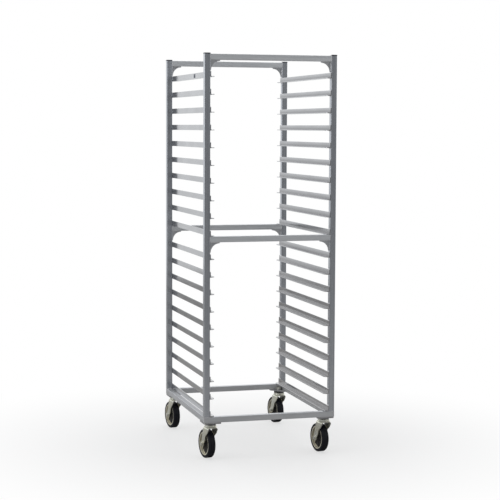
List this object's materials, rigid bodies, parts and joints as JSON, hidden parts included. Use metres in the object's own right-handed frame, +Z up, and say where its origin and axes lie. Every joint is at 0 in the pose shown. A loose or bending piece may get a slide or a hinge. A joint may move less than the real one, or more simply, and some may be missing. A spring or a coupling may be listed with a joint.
{
  "type": "sheet pan rack",
  "caption": "Tall open-frame mobile rack of aluminium tube with pairs of angle ledges for pans and trays, on swivel casters.",
  "frame": {"origin": "on the floor, below the centre of the tube frame", "axes": "+Z up, +X to the rack's right seen from its front, +Y towards its rear, where the casters trail"},
  "size_m": [0.5982, 0.8275, 1.7716],
  "materials": {
    "post_aluminium": "extruded aluminium tube, satin, with fine lengthwise grain",
    "rail_aluminium": "extruded aluminium tube, satin, with fine lengthwise grain",
    "base_aluminium": "extruded aluminium tube, satin, scuffed near the floor",
    "gusset_aluminium": "cut aluminium plate, tumbled edges",
    "caster_plate_aluminium": "cut aluminium plate, welded under the base rails",
    "ledge_aluminium": "extruded aluminium angle, lengthwise grain, light rub marks on the flat",
    "cap_plastic": "moulded dark cap, fine grain",
    "data_plate_foil": "dark blank plate, no lettering",
    "fork_zinc": "zinc-plated pressed steel, pale and slightly yellow",
    "race_steel": "plated steel race, dark with grease at its edge",
    "ball_steel": "polished steel balls",
    "bolt_zinc": "zinc-plated bolt and nut",
    "sleeve_bronze": "sintered bearing sleeve",
    "core_plastic": "moulded cream wheel core",
    "tyre_rubber": "black rubber tyre, fine grooves, dusty tread"
  },
  "bodies": {
    "frame": {"front_left_post": "post_aluminium", "front_right_post": "post_aluminium", "rear_left_post": "post_aluminium", "rear_right_post": "post_aluminium", "post_caps": "cap_plastic", "top_front_rail": "rail_aluminium", "top_rear_rail": "rail_aluminium", "middle_front_rail": "rail_aluminium", "middle_rear_rail": "rail_aluminium", "base_front_rail": "base_aluminium", "base_rear_rail": "base_aluminium", "base_left_rail": "base_aluminium", "base_right_rail": "base_aluminium", "top_front_gussets": "gusset_aluminium", "top_rear_gussets": "gusset_aluminium", "middle_front_gussets": "gusset_aluminium", "middle_rear_gussets": "gusset_aluminium", "front_left_caster_plate": "caster_plate_aluminium", "front_right_caster_plate": "caster_plate_aluminium", "rear_left_caster_plate": "caster_plate_aluminium", "rear_right_caster_plate": "caster_plate_aluminium", "left_upper_ledges": "ledge_aluminium", "left_lower_ledges": "ledge_aluminium", "right_upper_ledges": "ledge_aluminium", "right_lower_ledges": "ledge_aluminium", "data_plate": "data_plate_foil", "front_left_kingpin": "bolt_zinc", "front_left_upper_race": "race_steel", "front_right_kingpin": "bolt_zinc", "front_right_upper_race": "race_steel", "rear_left_kingpin": "bolt_zinc", "rear_left_upper_race": "race_steel", "rear_right_kingpin": "bolt_zinc", "rear_right_upper_race": "race_steel"},
    "front_left_swivel": {"front_left_race_balls": "ball_steel", "front_left_fork": "fork_zinc", "front_left_axle_bolt": "bolt_zinc", "front_left_bearing_sleeve": "sleeve_bronze"},
    "front_left_wheel": {"front_left_wheel_core": "core_plastic", "front_left_tyre": "tyre_rubber"},
    "front_right_swivel": {"front_right_race_balls": "ball_steel", "front_right_fork": "fork_zinc", "front_right_axle_bolt": "bolt_zinc", "front_right_bearing_sleeve": "sleeve_bronze"},
    "front_right_wheel": {"front_right_wheel_core": "core_plastic", "front_right_tyre": "tyre_rubber"},
    "rear_left_swivel": {"rear_left_race_balls": "ball_steel", "rear_left_fork": "fork_zinc", "rear_left_axle_bolt": "bolt_zinc", "rear_left_bearing_sleeve": "sleeve_bronze"},
    "rear_left_wheel": {"rear_left_wheel_core": "core_plastic", "rear_left_tyre": "tyre_rubber"},
    "rear_right_swivel": {"rear_right_race_balls": "ball_steel", "rear_right_fork": "fork_zinc", "rear_right_axle_bolt": "bolt_zinc", "rear_right_bearing_sleeve": "sleeve_bronze"},
    "rear_right_wheel": {"rear_right_wheel_core": "core_plastic", "rear_right_tyre": "tyre_rubber"}
  },
  "joints": [
    {"name": "front_left_caster_swivel", "type": "hinge", "parent": "frame", "child": "front_left_swivel", "pos_m": [-0.26128, -0.34383, 0.1621], "axis": [0, 0, 1], "continuous": true},
    {"name": "front_left_wheel_spin", "type": "hinge", "parent": "front_left_swivel", "child": "front_left_wheel", "pos_m": [-0.26722, -0.3063, 0.0635], "axis": [0.9877, 0.1564, 0], "continuous": true},
    {"name": "front_right_caster_swivel", "type": "hinge", "parent": "frame", "child": "front_right_swivel", "pos_m": [0.26128, -0.34383, 0.1621], "axis": [0, 0, 1], "continuous": true},
    {"name": "front_right_wheel_spin", "type": "hinge", "parent": "front_right_swivel", "child": "front_right_wheel", "pos_m": [0.25534, -0.3063, 0.0635], "axis": [0.9877, 0.1564, 0], "continuous": true},
    {"name": "rear_left_caster_swivel", "type": "hinge", "parent": "frame", "child": "rear_left_swivel", "pos_m": [-0.26128, 0.34383, 0.1621], "axis": [0, 0, 1], "continuous": true},
    {"name": "rear_left_wheel_spin", "type": "hinge", "parent": "rear_left_swivel", "child": "rear_left_wheel", "pos_m": [-0.26722, 0.38136, 0.0635], "axis": [0.9877, 0.1564, 0], "continuous": true},
    {"name": "rear_right_caster_swivel", "type": "hinge", "parent": "frame", "child": "rear_right_swivel", "pos_m": [0.26128, 0.34383, 0.1621], "axis": [0, 0, 1], "continuous": true},
    {"name": "rear_right_wheel_spin", "type": "hinge", "parent": "rear_right_swivel", "child": "rear_right_wheel", "pos_m": [0.25534, 0.38136, 0.0635], "axis": [0.9877, 0.1564, 0], "continuous": true}
  ]
}
